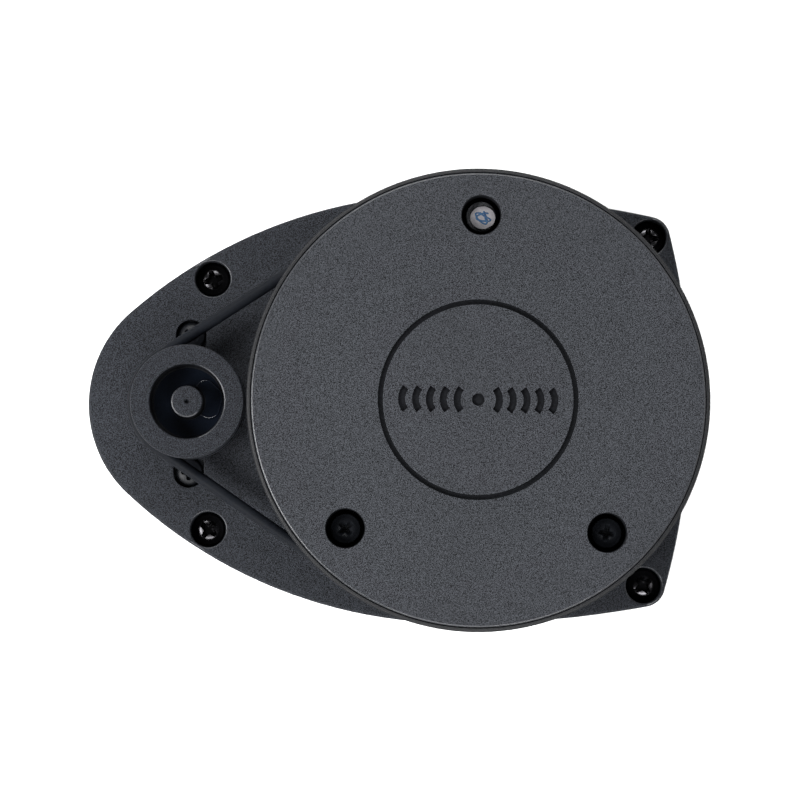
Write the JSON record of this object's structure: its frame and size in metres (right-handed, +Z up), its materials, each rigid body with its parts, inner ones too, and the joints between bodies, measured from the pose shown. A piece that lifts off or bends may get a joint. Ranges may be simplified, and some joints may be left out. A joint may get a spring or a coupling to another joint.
{
  "type": "lidar scanner module",
  "caption": "Belt-driven lidar scanner: a round laser scanner head spins on a teardrop base plate with legs, turned by a motor, a grooved pulley and a round rubber belt.",
  "frame": {"origin": "on the ground under the middle of the bounding box, level with the legs' lower ends", "axes": "+X from the motor to the scanner head, +Y the side the optics look out of at rest, +Z up along the scan axis"},
  "size_m": [0.0968, 0.0702, 0.055],
  "materials": {
    "plate_plastic": "fine textured moulding",
    "head_plastic": "fine textured moulding",
    "pulley_plastic": "fine textured top with a polished recess",
    "leg_plastic": "smooth moulding",
    "inner_plastic": "smooth moulding",
    "belt_rubber": "matt",
    "black_screws": "black oxide",
    "zinc_steel": "zinc plated",
    "bearing_steel": "ground",
    "bronze": "sintered",
    "copper": "enamelled wire",
    "ferrite": "sintered",
    "circuit_board": "solder mask",
    "chip_epoxy": "moulded epoxy",
    "nylon": "natural nylon",
    "lens_glass": "coated",
    "dark_lens": "infrared filter",
    "seal_paper": "paper",
    "red_insulation": "vinyl",
    "black_insulation": "vinyl"
  },
  "bodies": {
    "root": {"base_plate": "plate_plastic", "leg_motor_left": "leg_plastic", "leg_motor_right": "leg_plastic", "leg_head_left": "leg_plastic", "leg_head_right": "leg_plastic", "plate_screw_motor_left": "black_screws", "plate_screw_motor_right": "black_screws", "plate_screw_head_left": "black_screws", "plate_screw_head_right": "black_screws", "lower_board": "circuit_board", "board_screw_motor_left": "zinc_steel", "board_screw_motor_right": "zinc_steel", "board_screw_head_left": "zinc_steel", "board_screw_head_right": "zinc_steel", "driver_chip": "chip_epoxy", "power_inductor": "ferrite", "bulk_capacitor": "zinc_steel", "host_socket": "nylon", "motor_header": "nylon", "motor_lead_red": "red_insulation", "motor_lead_black": "black_insulation", "motor_holder": "inner_plastic", "motor_can": "zinc_steel", "motor_end_cap": "nylon", "motor_magnet": "ferrite", "motor_bush": "bronze", "motor_screw_left": "black_screws", "motor_screw_right": "black_screws", "drive_belt": "belt_rubber", "bearing_inner_race": "bearing_steel", "bearing_retaining_ring": "zinc_steel", "primary_coil": "copper", "primary_ferrite": "ferrite", "link_receiver": "dark_lens", "encoder_ring": "inner_plastic"},
    "scanner_head": {"turret_base": "head_plastic", "bearing_outer_race": "bearing_steel", "secondary_coil": "copper", "secondary_ferrite": "ferrite", "encoder_sensor": "chip_epoxy", "turret_board": "circuit_board", "processor_chip": "chip_epoxy", "link_emitter": "dark_lens", "optics_frame": "inner_plastic", "laser_barrel": "inner_plastic", "laser_lens": "lens_glass", "laser_diode": "zinc_steel", "receiver_barrel": "inner_plastic", "receiver_lens": "lens_glass", "sensor_board": "circuit_board", "image_sensor": "chip_epoxy", "top_cover": "head_plastic", "cover_screw_1": "black_screws", "cover_screw_2": "black_screws", "cover_screw_3": "black_screws", "seal_label": "seal_paper"},
    "bearing_cage": {"bearing_ball_cage": "bearing_steel"},
    "motor_rotor": {"motor_shaft": "bearing_steel", "motor_pulley": "pulley_plastic", "motor_armature": "copper"}
  },
  "joints": [
    {"name": "scan_spin", "type": "hinge", "parent": "root", "child": "scanner_head", "pos_m": [0.01325, 0, 0.027], "axis": [0, 0, 1], "continuous": true},
    {"name": "cage_spin", "type": "hinge", "parent": "root", "child": "bearing_cage", "pos_m": [0.01325, 0, 0.0265], "axis": [0, 0, 1], "continuous": true},
    {"name": "motor_spin", "type": "hinge", "parent": "root", "child": "motor_rotor", "pos_m": [-0.03225, 0, 0.027], "axis": [0, 0, 1], "continuous": true}
  ],
  "couplings": [
    {"joint": "motor_spin", "follows": "scan_spin", "ratio": 3.908},
    {"joint": "cage_spin", "follows": "scan_spin", "ratio": 0.55349}
  ]
}
